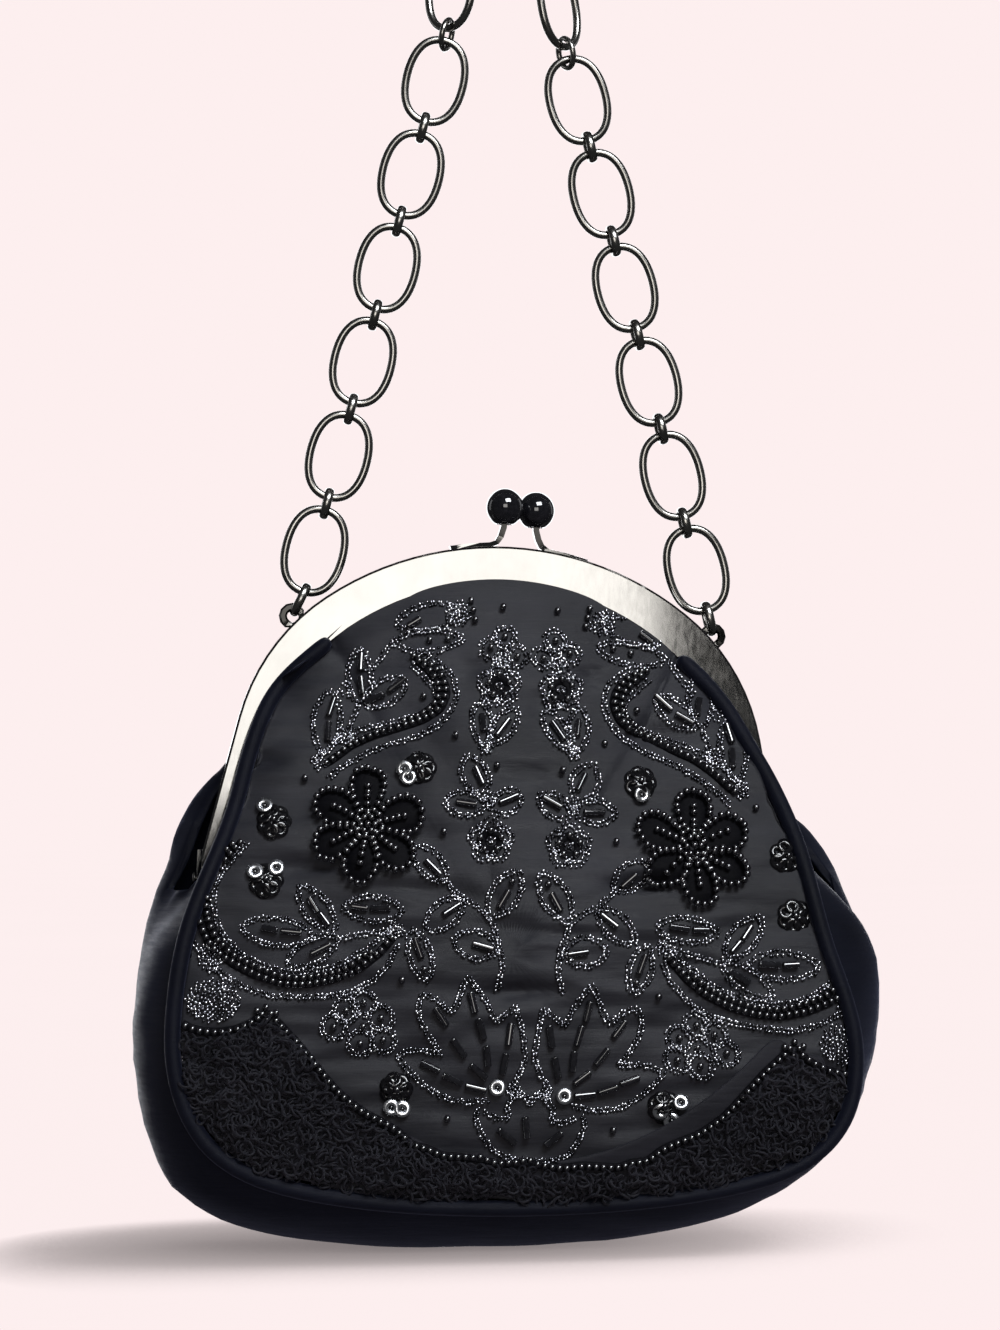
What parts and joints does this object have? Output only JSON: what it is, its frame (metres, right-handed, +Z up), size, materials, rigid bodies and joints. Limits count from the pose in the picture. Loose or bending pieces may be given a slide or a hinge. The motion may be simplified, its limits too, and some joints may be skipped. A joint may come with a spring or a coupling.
{
  "type": "beaded evening purse",
  "caption": "Gusseted satin frame purse with a kiss clasp, beaded floral front and a handle of oval chain links",
  "frame": {"origin": "the hand grip: the middle of the underside of the handle's top link", "axes": "+Z up along the hanging purse, -Y out of the beaded front, +X to the right of someone facing the front"},
  "size_m": [0.198, 0.07, 0.3516],
  "materials": {
    "satin": "puckered black satin with a soft sheen",
    "piping": "black satin over cord",
    "frame_metal": "polished gunmetal plate",
    "ball_enamel": "gloss black enamel",
    "chain_metal": "polished dark gunmetal plate",
    "border_cloth": "knotted matt black",
    "jet_beads": "gloss jet seed beads"
  },
  "bodies": {
    "root": {"front_panel": "satin", "back_panel": "satin", "gusset": "satin", "piping_front": "piping", "piping_back": "piping", "frame_front": "frame_metal", "frame_back": "frame_metal", "hinge_rivet_left": "frame_metal", "hinge_rivet_right": "frame_metal", "clasp_ball_front": "ball_enamel", "clasp_ball_back": "ball_enamel", "link_01": "chain_metal", "link_02": "chain_metal", "link_03": "chain_metal", "link_04": "chain_metal", "link_05": "chain_metal", "link_06": "chain_metal", "link_07": "chain_metal", "link_08": "chain_metal", "link_09": "chain_metal", "link_10": "chain_metal", "link_11": "chain_metal", "link_12": "chain_metal", "link_13": "chain_metal", "link_14": "chain_metal", "link_15": "chain_metal", "ring_01": "chain_metal", "ring_02": "chain_metal", "ring_03": "chain_metal", "ring_04": "chain_metal", "ring_05": "chain_metal", "ring_06": "chain_metal", "ring_07": "chain_metal", "ring_08": "chain_metal", "ring_09": "chain_metal", "ring_10": "chain_metal", "ring_11": "chain_metal", "ring_12": "chain_metal", "ring_13": "chain_metal", "ring_14": "chain_metal", "end_ring_left": "chain_metal", "end_ring_right": "chain_metal", "border": "border_cloth", "flower_left": "jet_beads", "flower_right": "jet_beads"}
  },
  "joints": []
}
